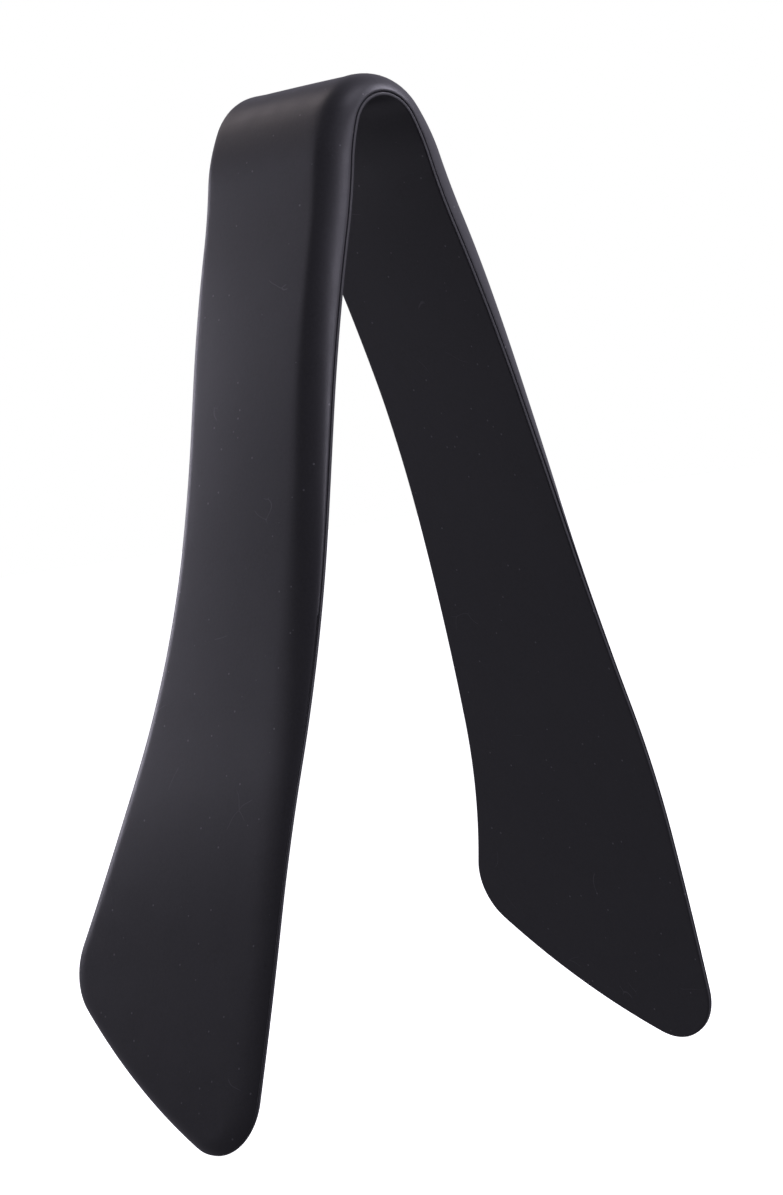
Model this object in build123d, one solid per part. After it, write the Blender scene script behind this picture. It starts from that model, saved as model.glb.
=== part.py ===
from build123d import *
import math
import os

# Spring loaded kitchen tongs: one broad band bent over a bow into two mirrored arms that end in slanted
# paddles. A black silicone cover makes the outside, a thin silicone liner the inside, and a bent strip of
# spring steel lies between them. X is the direction in which the arms open, Y runs across the band, and Z
# points up from the tips to the bow. Millimetres and degrees.

# Side view: the inner face of an arm as tangent arcs, each with its length and turn, from the bow down
overall_height = 250.0
bow_length, bow_turn = 11.3, 64.5
shoulder_length, shoulder_turn = 10.8, 12.0
hip_length, hip_turn = 17.4, -7.0
grip_length, grip_turn = 45.5, 5.1
waist_length = 27.5
flare_length, flare_turn = 56.5, -5.5
paddle_bend_length, paddle_bend_turn = 36.5, 6.3

# Front view: the outline of an arm, with heights above the sharp corner that the tip is rounded from
band_width = 46.0
near_curve_height = 159.5
near_curve_radius = 1030.0
far_curve_height = 184.0
far_curve_radius = 299.0
heel_height = 49.2
heel_radius = 14.0
tip_radius = 13.5
end_bulge = 4.6

# Thickness: least over the bow's top, most at the grips, then tapering to the paddles
crest_thickness = 6.5
grip_thickness = 8.6
paddle_thickness = 2.4
thicken_length = 23.5
taper_start = 25.0
taper_length = 197.0
liner_thickness = 1.0
edge_rounding = 1.1

# Spring strip, bonded between cover and liner
strip_width = 26.0
strip_thickness = 0.8
strip_end_height = 45.0
strip_corner_radius = 6.0
bond_gap = 0.05

# Where the arms begin: the distance along the inner face, from the bow's top, at which the band flexes
flex_distance = 30.0

# Construction: spacing of the outer curve's points, and how far the blanks stand past the finished part
point_spacing = 15.0
blank_margin = 20.0


def side_runs():
    """Length and turn of each tangent arc of the inner face, from the bow's top to past the tips."""
    return [
        (bow_length, bow_turn),
        (shoulder_length, shoulder_turn),
        (hip_length, hip_turn),
        (grip_length, grip_turn),
        (waist_length, 0.0),
        (flare_length, flare_turn),
        (paddle_bend_length, paddle_bend_turn),
        (2 * overall_height, 0.0),
    ]


def face_point(distance, offset=0.0):
    """Point of the right arm at a distance along the inner face and an offset outwards from it."""
    x, z, heading = 0.0, overall_height - crest_thickness, 0.0
    for length, turn in side_runs():
        step = min(distance, length)
        half_turn = math.radians(turn) * step / length / 2
        chord = step * math.sin(half_turn) / half_turn if half_turn else step
        x += chord * math.cos(heading + half_turn)
        z -= chord * math.sin(heading + half_turn)
        heading += 2 * half_turn
        distance -= step
    return Vector(x + offset * math.sin(heading), 0, z + offset * math.cos(heading))


def eased(share):
    share = min(max(share, 0), 1)
    return share * share * (3 - 2 * share)


def thickness_at(distance):
    gain = (grip_thickness - crest_thickness) * eased(distance / thicken_length)
    loss = (grip_thickness - paddle_thickness) * eased((distance - taper_start) / taper_length)
    return crest_thickness + gain - loss


def offset_curve(offset, start, end):
    """Tangent arcs and lines at an even offset from the inner face of the right arm."""
    knots, travelled = [start], 0.0
    for length, _ in side_runs():
        travelled += length
        if start < travelled < end:
            knots.append(travelled)
    knots.append(end)
    edges = []
    for first, last in zip(knots, knots[1:]):
        a, b, c = (face_point(d, offset) for d in (first, (first + last) / 2, last))
        bent = (b - (a + c) / 2).length > 1e-6
        edges.append(ThreePointArc(a, b, c) if bent else Line(a, c))
    return edges


def outer_curve(start, end):
    """The outer surface of the right arm in the side view, on which the thickness varies."""
    count = math.ceil((end - start) / point_spacing)
    places = [start + (end - start) * i / count for i in range(count + 1)]
    points = [face_point(d, thickness_at(d)) for d in places]
    level = Vector(1, 0, 0) if start == 0 else None
    return [Spline(points, tangents=[level, points[-1] - points[-2]]) if level else Spline(points)]


def layer(start, end, low, high=None):
    """The right arm's band from one offset to another, or out to the outer surface, wider than the part."""
    inner = offset_curve(low, start, end)
    outer = offset_curve(high, start, end) if high else outer_curve(start, end)
    caps = [Line(inner[0] @ 0, outer[0] @ 0), Line(inner[-1] @ 1, outer[-1] @ 1)]
    solid = extrude(make_face(inner + outer + caps), 2 * overall_height, dir=(0, 1, 0))
    return Pos(0, -overall_height, 0) * solid


def sideways(radius, height):
    """How far an arc of this radius has moved sideways after running straight down by this height."""
    return radius - math.sqrt(radius**2 - height**2)


def arm_outline():
    """Front view of an arm, as (y, z): a band that widens into a paddle with a slanted, bowed end."""
    near, far, top = -band_width / 2, band_width / 2, overall_height + blank_margin
    tip = Vector(near + sideways(near_curve_radius, near_curve_height), 0)
    heel = Vector(far + sideways(far_curve_radius, far_curve_height - heel_height), heel_height)
    slant = (heel - tip).normalized()
    end_middle = (tip + heel) / 2 + Vector(slant.Y, -slant.X) * end_bulge
    down = (0, -1)
    outline = make_face(
        [
            Line((near, top), (near, near_curve_height)),
            TangentArc((near, near_curve_height), tip, tangent=down),
            ThreePointArc(tip, end_middle, heel),
            TangentArc((far, far_curve_height), heel, tangent=down),
            Line((far, far_curve_height), (far, top)),
            Line((far, top), (near, top)),
        ]
    )
    for corner, radius in ((tip, tip_radius), (heel, heel_radius)):
        outline = fillet(outline.vertices().sort_by_distance(corner)[0], radius)
    return outline


def strip_outline(middle):
    """Front view of the spring strip, as (y, z), with rounded lower corners."""
    height = overall_height + blank_margin - strip_end_height
    centre = (middle, strip_end_height + height / 2)
    plain = Pos(*centre) * Rectangle(strip_width, height)
    return fillet(plain.vertices().sort_by(Axis.Y)[:2], strip_corner_radius)


def front_prism(face):
    """A front-view face run through both arms along X."""
    return Pos(-overall_height, 0, 0) * extrude(Plane.YZ * face, 2 * overall_height)


def rounded(cover, start, end):
    """Rounds the outer surface's long and end edges, but not where the cover is divided."""
    spot = Vertex(outer_curve(start, end)[0] @ 0.5)
    outside = cover.faces().sort_by_distance(spot)[0]
    return fillet(outside.edges().filter_by(Axis.Y, reverse=True), edge_rounding)


def make_half(start, end, outline, strip_face):
    """Cover, liner and strip of the right side, between two distances along the inner face."""
    body, strip_prism = front_prism(outline), front_prism(strip_face)
    strip_low = liner_thickness + bond_gap
    strip_high = strip_low + strip_thickness
    pocket_face = offset(strip_face, bond_gap)
    pocket = layer(start, end, liner_thickness, strip_high + bond_gap) & front_prism(pocket_face)
    cover = rounded(layer(start, end, liner_thickness) & body, start, end) - pocket
    liner = layer(start, end, 0, liner_thickness) & body
    strip = layer(start, end, strip_low, strip_high) & strip_prism
    return {"outer_cover": cover, "inner_liner": liner, "spring_strip": strip}


raw_outline = arm_outline()
box = raw_outline.bounding_box()
outline = Pos(-box.center().X, -box.min.Y) * raw_outline
strip_face = strip_outline(-box.center().X)

arm_length = overall_height + blank_margin
half_bow = make_half(0, flex_distance, outline, strip_face)
right_arm = make_half(flex_distance, arm_length, outline, strip_face)

os.makedirs("parts", exist_ok=True)
for piece in right_arm:
    bow = half_bow[piece] + mirror(half_bow[piece], about=Plane.YZ)
    left = mirror(right_arm[piece], about=Plane.YZ)
    for side, solid in (("bow", bow), ("left", left), ("right", right_arm[piece])):
        export_step(solid, f"parts/{piece}_{side}.step")
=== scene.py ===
import math

import bpy
import numpy as np
from mathutils import Matrix, Vector
from mathutils.geometry import delaunay_2d_cdt


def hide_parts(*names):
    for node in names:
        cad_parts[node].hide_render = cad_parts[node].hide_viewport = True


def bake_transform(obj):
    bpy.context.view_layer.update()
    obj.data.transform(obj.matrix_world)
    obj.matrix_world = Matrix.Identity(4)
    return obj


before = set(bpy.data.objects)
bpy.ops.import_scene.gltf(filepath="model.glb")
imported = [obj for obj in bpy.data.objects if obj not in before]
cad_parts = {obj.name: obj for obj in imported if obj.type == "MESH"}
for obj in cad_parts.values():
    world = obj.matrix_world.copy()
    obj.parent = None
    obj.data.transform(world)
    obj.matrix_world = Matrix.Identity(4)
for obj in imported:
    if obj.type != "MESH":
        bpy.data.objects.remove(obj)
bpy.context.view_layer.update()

# Spring loaded kitchen tongs. The CAD's cover, liner and spring strip are divided at the two hinges. Here
# each is one smooth piece per side, from the bow's top to the tip, which bends between the bow and its arm.
# The object's lengths are in millimetres until MM turns them into metres; angles are in degrees.

MM = 0.001
ARMS = {"right": 1, "left": -1}

# Side view: the inner face as tangent arcs, each with its length and turn, from the bow's top down
OVERALL_HEIGHT = 250.0
SIDE_RUNS = [(11.3, 64.5), (10.8, 12.0), (17.4, -7.0), (45.5, 5.1), (27.5, 0.0), (56.5, -5.5), (36.5, 6.3)]

# Front view: the outline, with heights above the sharp corner that the tip is rounded from
BAND_WIDTH = 46.0
NEAR_CURVE_HEIGHT, NEAR_CURVE_RADIUS = 159.5, 1030.0
FAR_CURVE_HEIGHT, FAR_CURVE_RADIUS = 184.0, 299.0
HEEL_HEIGHT, HEEL_RADIUS, TIP_RADIUS, END_BULGE = 49.2, 14.0, 13.5, 4.6

# Thickness over the bow's top, at the grips and at the paddles
CREST_THICKNESS, GRIP_THICKNESS, PADDLE_THICKNESS = 6.5, 8.6, 2.4
THICKEN_LENGTH, TAPER_START, TAPER_LENGTH = 23.5, 25.0, 197.0
LINER_THICKNESS = 1.0

# The spring strip, with the gap between it and the pieces that it lies between
STRIP_THICKNESS, STRIP_WIDTH, STRIP_END_HEIGHT, STRIP_CORNER = 0.8, 26.0, 45.0, 6.0
BOND_GAP = 0.05

# The cover's rounded shoulder: its width at distances along the near edge, and elsewhere, how far an edge
# faces the near side (-1 to 1) where it starts to widen and over which span, and how full it is where it
# meets the face and where it meets the side
NEAR_SHOULDERS = [(0.0, 8.0), (45.0, 6.3), (90.0, 7.8), (145.0, 10.4), (200.0, 8.6)]
FAR_SHOULDER = 4.1
WIDEN_FROM, WIDEN_SPAN = -0.3, 1.25
TOP_POWER, SIDE_POWER = 2.5, 1.55

# The crown of the cover's outer face at distances along it
CROWNS = [(0.0, 0.15), (50.0, 0.9), (190.0, 0.35)]

# Rounding of the liner's edges and of the strip's, and how much of it a chamfer's middle point keeps
RIM_ROUND, STRIP_ROUND, ROUND_MIDDLE = 0.2, 0.15, 0.3

# The groove that parts liner and cover: its depth and half its height, the rounding of its lips, and how far
# the cover's and the liner's hidden faces are from the height where they would touch
PARTING_DEPTH, PARTING_HALF, PARTING_LIP = 0.42, 0.2, 0.06
LINER_LIP_HEIGHT = 0.1
COVER_SEAM, LINER_SEAM = 0.03, 0.02

# The mesh: spacing of points along the edges and within the faces, the share of that spacing which the inner
# points keep from a border, the rings on the shoulder, and the first ring's share of the quarter turn
EDGE_STEP, FACE_STEP, BORDER_SHARE = 1.0, 2.2, 0.6
SHOULDER_RINGS, FIRST_RING = 14, 0.06
TOUCHING = 1e-6

# Camera: the height it is aimed at, its angles, its distance and how far it is moved aside; its lens and the
# height of its sensor
AIM_HEIGHT = 135.0
CAMERA = {"azimuth": 44.5, "elevation": 0.94, "roll": -8.37, "distance": 1345.7,
          "right": 2.4467, "up": -11.7932}
LENS, SENSOR_HEIGHT = 165.6904, 36.0

# Silicone: darker and paler tones and roughness of the cover and of the liner, and the dust on them
COVER_LOOK = (0.022, 0.0215, 0.0245), (0.030, 0.0295, 0.0335), 0.4
LINER_LOOK = (0.020, 0.0197, 0.0222), (0.027, 0.0266, 0.030), 0.44
DUST = (0.16, 0.16, 0.17)

# How many times a metre the silicone's patterns repeat, and how high its relief is in metres
MOTTLE, GRAIN, SPECKS, WEAR, RELIEF, FINE_RELIEF = 95.0, 1400.0, 260.0, 160.0, 300.0, 2600.0
HAIRS, HAIR_WANDER, HAIR_PATCHES = 42.0, 70.0, 84.0
HAIR_SWAY, RELIEF_HEIGHT = 0.016, 0.00003

# Steel: darker and paler tones, the scratches' repeats a metre along and across the strip, and their height
STEEL_TONES = (0.42, 0.43, 0.45), (0.6, 0.61, 0.63)
SCRATCH_ALONG, SCRATCH_ACROSS, SCRATCH_HEIGHT = 12.0, 2200.0, 0.00001

# Floor: half its side in metres, and its glow
FLOOR_HALF, FLOOR_GLOW = 40.0, 1.0

# Light: the room's brightness as a sum of soft gradients (direction, where each starts and is full, and its
# strength), and the softboxes (name, place and size in metres, power in watts, colour) with their aim
COOL, WARM = (0.97, 0.93, 1.10), (1.08, 0.95, 0.96)
ROOM_GRADIENTS = [
    ((0, 0, 1), -2.0, -1.5, 0.155),
    ((0.70, 0.71, 0), 0.3, 0.95, 0.15),
    ((0.7, -0.6, 0.35), 0.2, 1.0, 0.4),
    ((-0.3, 0.9, -0.35), 0.8, 1.0, 0.1),
]
SOFTBOXES = [
    ("left_softbox", (-0.45, 0.35, 0.5), (0.3, 0.3), 0.22, COOL),
    ("back_left_softbox", (-0.10, 0.45, 0.27), (0.2, 0.2), 0.55, COOL),
    ("front_softbox", (0.20, -1.0, 0.3), (0.3, 0.35), 1.8, COOL),
    ("front_right_softbox", (0.75, -0.5, 0.7), (0.3, 0.3), 3.2, COOL),
    ("front_top_softbox", (0.1, -0.45, 0.8), (0.3, 0.3), 0.6, COOL),
    ("rim_softbox", (0.0, 0.7, 0.9), (0.4, 0.5), 0.75, WARM),
]
SOFTBOX_AIM = (0, 0, 0.13)


def eased(share):
    share = np.clip(share, 0, 1)
    return share * share * (3 - 2 * share)


def eased_along(table, s):
    """A value that eases from each (distance, value) of a table to the next."""
    value = np.full(len(s), table[0][1])
    for (start, before), (end, after) in zip(table, table[1:]):
        value += (after - before) * eased((s - start) / (end - start))
    return value


def thickness_at(s):
    gain = (GRIP_THICKNESS - CREST_THICKNESS) * eased(s / THICKEN_LENGTH)
    loss = (GRIP_THICKNESS - PADDLE_THICKNESS) * eased((s - TAPER_START) / TAPER_LENGTH)
    return CREST_THICKNESS + gain - loss


# ---- the inner face as a table of points, closely spaced along its length ----

def inner_face(step=0.1):
    """Distances along the inner face of the right arm, with its heading, x and z at each."""
    along = np.arange(0, 1.2 * OVERALL_HEIGHT, step)
    ends = np.cumsum([0] + [length for length, _ in SIDE_RUNS])
    turns = np.cumsum([0] + [turn for _, turn in SIDE_RUNS])
    heading = np.radians(np.interp(along, ends, turns))
    middle = (heading[1:] + heading[:-1]) / 2
    x = np.concatenate([[0], np.cumsum(np.cos(middle)) * step])
    z = OVERALL_HEIGHT - CREST_THICKNESS - np.concatenate([[0], np.cumsum(np.sin(middle)) * step])
    return along, heading, x, z


ALONG, HEADING, FACE_X, FACE_Z = inner_face()


def along_at_height(z):
    return np.interp(-z, -FACE_Z, ALONG)


def place(s, y, offset):
    """Points of the right arm at distances s along the inner face, y across it and an offset outwards."""
    heading = np.interp(s, ALONG, HEADING)
    x = np.interp(s, ALONG, FACE_X) + np.sin(heading) * offset
    z = np.interp(s, ALONG, FACE_Z) + np.cos(heading) * offset
    return np.stack([x, y + 0 * s, z], axis=-1)


# ---- outlines laid flat: (s, y) points from the bow down the near edge, round the end and back up ----

def circle_crossing(centre_a, radius_a, centre_b, radius_b, near):
    """Where two circles cross, on the side that is nearer to a given point."""
    gap = centre_b - centre_a
    distance = np.hypot(*gap)
    reach = (radius_a**2 - radius_b**2 + distance**2) / (2 * distance)
    rise = math.sqrt(radius_a**2 - reach**2)
    foot = centre_a + gap * reach / distance
    across = np.array([-gap[1], gap[0]]) / distance
    return min((foot + across * rise, foot - across * rise), key=lambda p: np.hypot(*(p - near)))


def arc(centre, start, end):
    """Points from start to end, the short way round a circle."""
    a, b = start - centre, end - centre
    first = math.atan2(a[1], a[0])
    turn = (math.atan2(b[1], b[0]) - first + math.pi) % (2 * math.pi) - math.pi
    radius = np.hypot(*a)
    count = max(8, math.ceil(abs(turn) * radius / EDGE_STEP))
    angles = first + turn * np.linspace(0, 1, count + 1)
    return centre + radius * np.stack([np.cos(angles), np.sin(angles)], axis=1)


def outward_point(centre, towards, radius):
    ray = towards - centre
    return centre + ray * radius / np.hypot(*ray)


def front_outline():
    """Tip, end and heel arcs and the two long edges, as (y, z), lowered so that the lowest point is at 0."""
    near, far = -BAND_WIDTH / 2, BAND_WIDTH / 2
    near_centre = np.array([near + NEAR_CURVE_RADIUS, NEAR_CURVE_HEIGHT])
    far_centre = np.array([far + FAR_CURVE_RADIUS, FAR_CURVE_HEIGHT])
    tip = np.array([near_centre[0] - math.sqrt(NEAR_CURVE_RADIUS**2 - NEAR_CURVE_HEIGHT**2), 0])
    drop = FAR_CURVE_HEIGHT - HEEL_HEIGHT
    heel = np.array([far_centre[0] - math.sqrt(FAR_CURVE_RADIUS**2 - drop**2), HEEL_HEIGHT])
    chord = np.hypot(*(heel - tip))
    slant = (heel - tip) / chord
    end_radius = (chord**2 / 4 + END_BULGE**2) / (2 * END_BULGE)
    end_centre = (tip + heel) / 2 + np.array([slant[1], -slant[0]]) * (END_BULGE - end_radius)
    tip_centre = circle_crossing(
        near_centre, NEAR_CURVE_RADIUS - TIP_RADIUS, end_centre, end_radius - TIP_RADIUS, tip)
    heel_centre = circle_crossing(
        far_centre, FAR_CURVE_RADIUS + HEEL_RADIUS, end_centre, end_radius - HEEL_RADIUS, heel)
    near_end = outward_point(near_centre, tip_centre, NEAR_CURVE_RADIUS)
    end_start = outward_point(end_centre, tip_centre, end_radius)
    end_stop = outward_point(end_centre, heel_centre, end_radius)
    far_start = outward_point(far_centre, heel_centre, FAR_CURVE_RADIUS)
    parts = {
        "near": arc(near_centre, np.array([near, NEAR_CURVE_HEIGHT]), near_end),
        "tip": arc(tip_centre, near_end, end_start),
        "end": arc(end_centre, end_start, end_stop),
        "heel": arc(heel_centre, end_stop, far_start),
        "far": arc(far_centre, far_start, np.array([far, FAR_CURVE_HEIGHT])),
    }
    low = min(points[:, 1].min() for points in parts.values())
    leftmost = min(points[:, 0].min() for points in parts.values())
    rightmost = max(points[:, 0].max() for points in parts.values())
    shift = np.array([-(leftmost + rightmost) / 2, -low])
    return {name: points + shift for name, points in parts.items()}, shift[0]


FRONT, BAND_Y = front_outline()


def flat_outline():
    """The whole open outline as (s, y), with even steps along the straight band under the bow."""
    after_near = [FRONT[name][1:] for name in ("tip", "end", "heel", "far")]
    curved = np.concatenate([FRONT["near"], *after_near])
    s = along_at_height(curved[:, 1])
    down = np.arange(0, s[0] - EDGE_STEP / 2, EDGE_STEP)
    up = np.arange(0, s[-1] - EDGE_STEP / 2, EDGE_STEP)[::-1]
    near = np.stack([down, np.full(len(down), BAND_Y - BAND_WIDTH / 2)], axis=1)
    far = np.stack([up, np.full(len(up), BAND_Y + BAND_WIDTH / 2)], axis=1)
    return np.concatenate([near, np.stack([s, curved[:, 0]], axis=1), far])


def strip_outline():
    """The spring strip's outline, laid flat: straight sides and an end with rounded corners."""
    near, far = BAND_Y - STRIP_WIDTH / 2, BAND_Y + STRIP_WIDTH / 2
    end = along_at_height(STRIP_END_HEIGHT)
    low, high, stop = near + STRIP_CORNER, far - STRIP_CORNER, end - STRIP_CORNER
    down, across = np.arange(0, stop, EDGE_STEP), np.arange(low + EDGE_STEP, high, EDGE_STEP)
    return np.concatenate([
        np.stack([down, np.full(len(down), near)], axis=1),
        arc(np.array([stop, low]), np.array([stop, near]), np.array([end, low])),
        np.stack([np.full(len(across), end), across], axis=1),
        arc(np.array([stop, high]), np.array([end, high]), np.array([stop, far])),
        np.stack([down[::-1], np.full(len(down), far)], axis=1),
    ])


def with_inward(outline):
    """An open outline with, at each of its points, the direction into the piece."""
    tangent = np.gradient(outline, axis=0)
    tangent /= np.linalg.norm(tangent, axis=1)[:, None]
    inward = np.stack([-tangent[:, 1], tangent[:, 0]], axis=1)
    inward[[0, -1], 0] = 0
    return outline, inward


BAND = with_inward(flat_outline())
STRIP = with_inward(strip_outline())


def shoulder_width():
    """Width of the rounded shoulder at each point of the band's outline, broad only along the near edge."""
    outline, inward = BAND
    near = eased_along(NEAR_SHOULDERS, outline[:, 0])
    nearness = eased((inward[:, 1] - WIDEN_FROM) / WIDEN_SPAN)
    return FAR_SHOULDER + (near - FAR_SHOULDER) * nearness


def outer_face(flat):
    """Offset of the cover's outer face at (s, y) points: the CAD's thickness, gently crowned across."""
    s, y = flat[:, 0], flat[:, 1]
    near = np.interp(s, along_at_height(FRONT["near"][:, 1]), FRONT["near"][:, 0])
    far = np.interp(s, along_at_height(FRONT["far"][::-1, 1]), FRONT["far"][::-1, 0])
    share = (2 * y - near - far) / (far - near)
    return thickness_at(s) + eased_along(CROWNS, s) * (1 / 3 - np.minimum(share**2, 1))


# ---- meshes ----

def inset_ring(outline, distance):
    """An outline moved inwards by a distance, which may differ from point to point."""
    return outline[0] + outline[1] * np.asarray(distance).reshape(-1, 1)


def face_fill(ring):
    """Points and triangles within an open ring whose two ends lie on the bow's middle line. The ring's own
    points come first."""
    width = abs(ring[-1, 1] - ring[0, 1])
    across = np.linspace(ring[-1, 1], ring[0, 1], math.ceil(width / FACE_STEP) + 1)[1:-1]
    border = np.concatenate([ring, np.stack([np.zeros(len(across)), across], axis=1)])
    low, high = border.min(axis=0), border.max(axis=0)
    grid_s = np.arange(low[0] + FACE_STEP / 2, high[0], FACE_STEP)
    grid_y = np.arange(low[1] + FACE_STEP / 2, high[1], FACE_STEP)
    inner = np.stack(np.meshgrid(grid_s, grid_y, indexing="ij"), axis=-1).reshape(-1, 2)
    inner = inner[clear_of(border, inner, BORDER_SHARE * FACE_STEP)]
    points = [Vector(p) for p in np.concatenate([border, inner])]
    edges = [(i, (i + 1) % len(border)) for i in range(len(border))]
    inside_only = 1
    found, _, faces, *_ = delaunay_2d_cdt(points, edges, [], inside_only, 0.1 * TOUCHING)
    return np.array([tuple(p) for p in found]), [list(f) for f in faces]


def clear_of(border, points, margin):
    """Which points lie within a closed border and at least a margin from it."""
    ends = np.roll(border, -1, axis=0)
    inside = np.zeros(len(points), bool)
    nearest = np.full(len(points), np.inf)
    for a, b in zip(border, ends):
        crosses = (a[1] > points[:, 1]) != (b[1] > points[:, 1])
        slope = (b[0] - a[0]) / (b[1] - a[1]) if b[1] != a[1] else 0
        inside ^= crosses & (points[:, 0] < a[0] + (points[:, 1] - a[1]) * slope)
        edge = b - a
        share = np.clip((points - a) @ edge / max(edge @ edge, 1e-12), 0, 1)
        nearest = np.minimum(nearest, np.linalg.norm(points - a - share[:, None] * edge, axis=1))
    return inside & (nearest > margin)


def shell(name, outline, rings, side, material, top_offset, bottom_offset):
    """A closed piece: rings of (outline's inset, offset) from the lower face's border to the upper face's,
    both faces filled, and a flat cap across the bow's middle."""
    vertices, faces, borders = ring_walls(outline, rings)
    seams = []
    for ring, border, offset_of, downwards in (
        (rings[0], borders[0], bottom_offset, True),
        (rings[-1], borders[-1], top_offset, False),
    ):
        flat = inset_ring(outline, ring[0])
        points, triangles = face_fill(flat)
        extra = points[len(flat):]
        numbers = list(border) + list(range(len(vertices), len(vertices) + len(extra)))
        vertices.extend(place(extra[:, 0], extra[:, 1], offset_of(extra)))
        for triangle in triangles:
            corners = [numbers[i] for i in triangle]
            faces.append(corners[::-1] if downwards else corners)
        middle = [numbers[i] for i in range(len(flat), len(points)) if points[i][0] < TOUCHING]
        seams.append([border[-1]] + middle + [border[0]])
    first_ends, last_ends = [b[0] for b in borders], [b[-1] for b in borders]
    faces.append(first_ends[1:-1] + seams[1][::-1] + last_ends[1:-1][::-1] + seams[0])
    coordinates = np.array(vertices) * (side, 1, 1)
    mesh = bpy.data.meshes.new(name)
    mesh.from_pydata((coordinates * MM).tolist(), [], [f[::-1] for f in faces] if side > 0 else faces)
    mesh.update()
    finish_mesh(mesh, len(faces) - 1)
    mesh.materials.append(material)
    piece = bpy.data.objects.new(name, mesh)
    bpy.context.collection.objects.link(piece)
    return piece


def ring_walls(outline, rings):
    """Vertices of all rings, the faces between them, and each ring's vertex numbers."""
    vertices, faces, borders = [], [], []
    for inset, offset in rings:
        flat = inset_ring(outline, inset)
        borders.append(range(len(vertices), len(vertices) + len(flat)))
        vertices.extend(place(flat[:, 0], flat[:, 1], offset))
    for lower, upper in zip(borders, borders[1:]):
        for i in range(len(lower) - 1):
            faces.append([lower[i], lower[i + 1], upper[i + 1], upper[i]])
    return vertices, faces, borders


def finish_mesh(mesh, cap):
    """Smooth faces, with a sharp border round the flat cap that lies within the bow."""
    mesh.validate()
    mesh.shade_smooth()
    mesh.polygons[cap].use_smooth = False
    border = {tuple(sorted(key)) for key in mesh.polygons[cap].edge_keys}
    for edge in mesh.edges:
        edge.use_edge_sharp = tuple(sorted(edge.vertices)) in border


def cover_rings():
    """From the hidden inner face over the groove's upper lip and up the shoulder."""
    low = LINER_THICKNESS + COVER_SEAM
    rings = [
        (PARTING_DEPTH, low),
        (0.35 * PARTING_DEPTH, low + 0.35 * PARTING_HALF),
        (PARTING_LIP, low + PARTING_HALF),
    ]
    for angle in np.linspace(FIRST_RING, 1, SHOULDER_RINGS) * math.pi / 2:
        inset = shoulder_width() * (1 - math.cos(angle) ** (2 / TOP_POWER))
        rise = outer_face(inset_ring(BAND, inset)) - LINER_THICKNESS
        rings.append((inset, LINER_THICKNESS + rise * math.sin(angle) ** (2 / SIDE_POWER)))
    return rings


def liner_rings():
    """From the visible inner face round its rim to the groove's lower lip and the hidden face."""
    lip = LINER_THICKNESS - PARTING_HALF
    return [
        (3 * RIM_ROUND, 0.0),
        (RIM_ROUND, 0.0),
        (ROUND_MIDDLE * RIM_ROUND, ROUND_MIDDLE * RIM_ROUND),
        (0.0, RIM_ROUND),
        (0.0, lip - LINER_LIP_HEIGHT),
        (PARTING_LIP, lip),
        (PARTING_DEPTH, LINER_THICKNESS - LINER_SEAM),
    ]


def strip_rings():
    low, middle = LINER_THICKNESS + BOND_GAP, ROUND_MIDDLE * STRIP_ROUND
    high = low + STRIP_THICKNESS
    return [
        (STRIP_ROUND, low),
        (middle, low + middle),
        (0.0, low + STRIP_ROUND),
        (0.0, high - STRIP_ROUND),
        (middle, high - middle),
        (STRIP_ROUND, high),
    ]


def pocket(flat):
    """Offset of the cover's inner face, which is hollowed round the spring strip."""
    clear = 1.5 * FACE_STEP
    beside = np.abs(flat[:, 1] - BAND_Y) < STRIP_WIDTH / 2 + clear
    beside &= flat[:, 0] < along_at_height(STRIP_END_HEIGHT) + clear
    roof = LINER_THICKNESS + STRIP_THICKNESS + 2 * BOND_GAP
    return np.where(beside, roof, LINER_THICKNESS + COVER_SEAM)


def level(offset):
    return lambda flat: np.full(len(flat), offset)


def make_cover(arm, material):
    return shell(f"cover_{arm}", BAND, cover_rings(), ARMS[arm], material, outer_face, pocket)


def make_liner(arm, material):
    hidden = level(LINER_THICKNESS - LINER_SEAM)
    return shell(f"liner_{arm}", BAND, liner_rings(), ARMS[arm], material, hidden, level(0.0))


def make_strip(arm, material):
    low = LINER_THICKNESS + BOND_GAP
    high = low + STRIP_THICKNESS
    return shell(f"strip_{arm}", STRIP, strip_rings(), ARMS[arm], material, level(high), level(low))


# ---- materials ----

def fill(tree, socket, value):
    """Links a socket to another one, or sets it to a value."""
    if isinstance(value, bpy.types.NodeSocket):
        tree.links.new(value, socket)
    else:
        socket.default_value = value


def add_node(tree, kind, inputs, **settings):
    node = tree.nodes.new(kind)
    for key, value in settings.items():
        setattr(node, key, value)
    for key, value in inputs.items():
        fill(tree, node.inputs[key], value)
    return node


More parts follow.
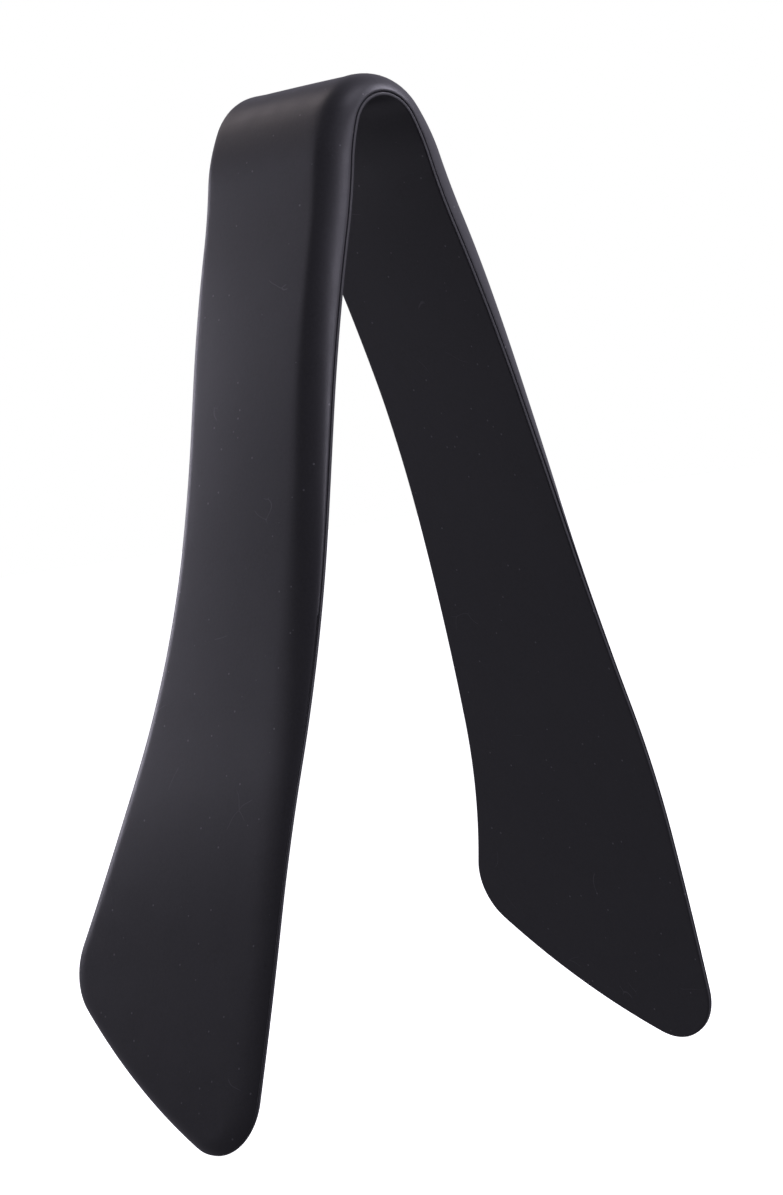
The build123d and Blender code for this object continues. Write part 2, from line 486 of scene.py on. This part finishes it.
class Shading:
    """A material's nodes, with short ways to add patterns that stay in place on the object."""

    def __init__(self, name):
        self.material = bpy.data.materials.new(name)
        self.material.use_nodes = True
        self.tree = self.material.node_tree
        self.place = self.tree.nodes.new("ShaderNodeTexCoord").outputs["Object"]

    def node(self, kind, inputs, **settings):
        return add_node(self.tree, kind, inputs, **settings)

    def math(self, operation, first, second):
        return self.node("ShaderNodeMath", {0: first, 1: second}, operation=operation).outputs[0]

    def noise(self, scale, detail, roughness=0.55, place=None):
        inputs = {"Vector": place or self.place, "Scale": scale, "Detail": detail, "Roughness": roughness}
        return self.node("ShaderNodeTexNoise", inputs).outputs["Fac"]

    def cells(self, scale, feature="F1", place=None):
        inputs = {"Vector": place or self.place, "Scale": scale}
        return self.node("ShaderNodeTexVoronoi", inputs, feature=feature).outputs["Distance"]

    def ranged(self, value, low, high, start, end):
        inputs = {"Value": value, "From Min": low, "From Max": high, "To Min": start, "To Max": end}
        return self.node("ShaderNodeMapRange", inputs).outputs["Result"]

    def mix(self, share, first, second):
        """A mix of two colours. Inputs 6 and 7 and output 2 are the ones that a colour mix uses."""
        colours = [c if isinstance(c, bpy.types.NodeSocket) else (*c, 1) for c in (first, second)]
        inputs = {0: share, 6: colours[0], 7: colours[1]}
        return self.node("ShaderNodeMix", inputs, data_type="RGBA").outputs[2]

    def wandering(self, scale, amount):
        """The place on the object, moved a little by a soft noise."""
        wander = self.node("ShaderNodeTexNoise", {"Vector": self.place, "Scale": scale, "Detail": 1.0})
        inputs = {0: wander.outputs["Color"], 1: (0.5, 0.5, 0.5)}
        centred = self.node("ShaderNodeVectorMath", inputs, operation="SUBTRACT").outputs[0]
        shift = self.node("ShaderNodeVectorMath", {0: centred, "Scale": amount}, operation="SCALE").outputs[0]
        return self.node("ShaderNodeVectorMath", {0: self.place, 1: shift}, operation="ADD").outputs[0]

    def use(self, **inputs):
        for key, value in inputs.items():
            fill(self.tree, self.tree.nodes["Principled BSDF"].inputs[key.replace("_", " ")], value)


def silicone(name, dark, pale, roughness):
    """Matt silicone: softly mottled, finely grained, with specks of dust and a few fine hairs on it."""
    look = Shading(name)
    mottle = look.ranged(look.noise(MOTTLE, 4.0), 0.3, 0.7, 0.0, 0.7)
    grain = look.ranged(look.noise(GRAIN, 2.0), 0.3, 0.7, 0.0, 1.0)
    tone = look.mix(grain, look.mix(mottle, dark, pale), pale)
    tone = look.mix(look.ranged(look.cells(SPECKS), 0.08, 0.05, 0.0, 0.65), tone, DUST)
    threads = look.cells(HAIRS, "DISTANCE_TO_EDGE", look.wandering(HAIR_WANDER, HAIR_SWAY))
    kept = look.ranged(look.noise(HAIR_PATCHES, 0.0), 0.71, 0.73, 0.0, 1.0)
    hairs = look.math("MULTIPLY", look.ranged(threads, 0.0038, 0.002, 0.0, 0.3), kept)
    tone = look.mix(hairs, tone, DUST)
    worn = look.ranged(look.noise(WEAR, 5.0), 0.3, 0.7, roughness - 0.03, roughness + 0.03)
    soft_relief = look.math("MULTIPLY", look.noise(RELIEF, 2.0), 2.0)
    relief = look.math("ADD", look.noise(FINE_RELIEF, 2.0), soft_relief)
    bump = look.node("ShaderNodeBump", {"Height": relief, "Strength": 0.35, "Distance": RELIEF_HEIGHT})
    look.use(Base_Color=tone, Roughness=worn, Normal=bump.outputs[0], Specular_IOR_Level=0.5)
    look.use(Sheen_Weight=0.04, Sheen_Roughness=0.45, Sheen_Tint=(0.85, 0.84, 0.9, 1))
    return look.material


def spring_steel(name):
    """Brushed steel, with its scratches along the strip."""
    look = Shading(name)
    stretch = (SCRATCH_ALONG, SCRATCH_ACROSS, SCRATCH_ALONG)
    drawn = look.node("ShaderNodeMapping", {"Vector": look.place, "Scale": stretch}).outputs[0]
    scratches = look.noise(1.0, 5.0, 0.65, drawn)
    bump = look.node("ShaderNodeBump", {"Height": scratches, "Strength": 0.2, "Distance": SCRATCH_HEIGHT})
    look.use(Base_Color=look.mix(scratches, *STEEL_TONES), Metallic=1.0, Normal=bump.outputs[0])
    look.use(Roughness=look.ranged(scratches, 0.2, 0.8, 0.24, 0.42))
    return look.material


PIECES = [
    (make_cover, silicone("cover_silicone", *COVER_LOOK), "outer_cover", "cover_silicone"),
    (make_liner, silicone("liner_silicone", *LINER_LOOK), "inner_liner", "liner_silicone"),
    (make_strip, spring_steel("spring_steel"), "spring_strip", "spring_steel"),
]

# Each arm gets one cover, liner and strip, shaped to turn from the bow's line to its arm's; the CAD's pieces
# for that arm and the bow are hidden
for arm in ARMS:
    for make, material, node, slot in PIECES:
        piece = make(arm, material)
        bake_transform(piece)
        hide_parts(f"{node}_{arm}", f"{node}_bow")


# ---- floor, light and camera ----

def make_floor():
    """A glowing white table, which doesn't light the object."""
    near, far = -FLOOR_HALF, FLOOR_HALF
    mesh = bpy.data.meshes.new("floor")
    corners = [(near, near, 0), (far, near, 0), (far, far, 0), (near, far, 0)]
    mesh.from_pydata(corners, [], [(0, 1, 2, 3)])
    look = Shading("pale_floor")
    look.use(Base_Color=(0.9, 0.9, 0.9, 1), Roughness=0.9, Specular_IOR_Level=0.1)
    look.use(Emission_Color=(1, 1, 1, 1), Emission_Strength=FLOOR_GLOW)
    mesh.materials.append(look.material)
    floor = bpy.data.objects.new("floor", mesh)
    floor.visible_diffuse = False
    floor.visible_glossy = False
    bpy.context.collection.objects.link(floor)


def make_world():
    """A dim, even studio, a little brighter behind the object and to its front right. Where the camera sees
    it, it is white."""
    world = bpy.data.worlds.new("studio")
    world.use_nodes = True
    tree = world.node_tree
    direction = tree.nodes.new("ShaderNodeTexCoord").outputs["Generated"]
    brightness = 0.0
    for axis, low, high, strength in ROOM_GRADIENTS:
        dot = add_node(tree, "ShaderNodeVectorMath", {0: direction, 1: axis}, operation="DOT_PRODUCT")
        reach = {"Value": dot.outputs["Value"], "From Min": low, "From Max": high, "To Max": strength}
        spread = add_node(tree, "ShaderNodeMapRange", reach, interpolation_type="SMOOTHSTEP")
        inputs = {0: brightness, 1: spread.outputs["Result"]}
        brightness = add_node(tree, "ShaderNodeMath", inputs, operation="ADD").outputs[0]
    room = add_node(tree, "ShaderNodeBackground", {"Color": (*COOL, 1), "Strength": brightness})
    backdrop = add_node(tree, "ShaderNodeBackground", {"Color": (1, 1, 1, 1), "Strength": 1.0})
    seen = tree.nodes.new("ShaderNodeLightPath").outputs["Is Camera Ray"]
    mix = add_node(tree, "ShaderNodeMixShader", {0: seen, 1: room.outputs[0], 2: backdrop.outputs[0]})
    tree.links.new(mix.outputs[0], tree.nodes["World Output"].inputs["Surface"])
    bpy.context.scene.world = world


def area_light(name, position, size, power, colour):
    light = bpy.data.lights.new(name, "AREA")
    light.shape = "RECTANGLE"
    light.size, light.size_y = size
    light.energy = power
    light.color = colour
    lamp = bpy.data.objects.new(name, light)
    lamp.location = position
    lamp.rotation_euler = (Vector(SOFTBOX_AIM) - Vector(position)).to_track_quat("-Z", "Y").to_euler()
    bpy.context.collection.objects.link(lamp)


def make_camera():
    azimuth, elevation, roll = (math.radians(CAMERA[k]) for k in ("azimuth", "elevation", "roll"))
    across = Vector((math.cos(azimuth), -math.sin(azimuth), 0))
    forward = Vector((math.sin(azimuth), math.cos(azimuth), 0)) * math.cos(elevation)
    forward.z = -math.sin(elevation)
    upright = across.cross(forward)
    right = across * math.cos(roll) + upright * math.sin(roll)
    up = upright * math.cos(roll) - across * math.sin(roll)
    moved = right * CAMERA["right"] + up * CAMERA["up"] - forward * CAMERA["distance"]
    position = (Vector((0, BAND_Y, AIM_HEIGHT)) + moved) * MM
    camera = bpy.data.objects.new("camera", bpy.data.cameras.new("camera"))
    camera.data.sensor_fit = "VERTICAL"
    camera.data.sensor_height = SENSOR_HEIGHT
    camera.data.lens = LENS
    camera.matrix_world = Matrix.Translation(position) @ Matrix((right, up, -forward)).transposed().to_4x4()
    bpy.context.collection.objects.link(camera)
    bpy.context.scene.camera = camera


make_floor()
make_world()
make_camera()
for lamp in SOFTBOXES:
    area_light(*lamp)
bpy.context.scene.view_settings.view_transform = "Standard"
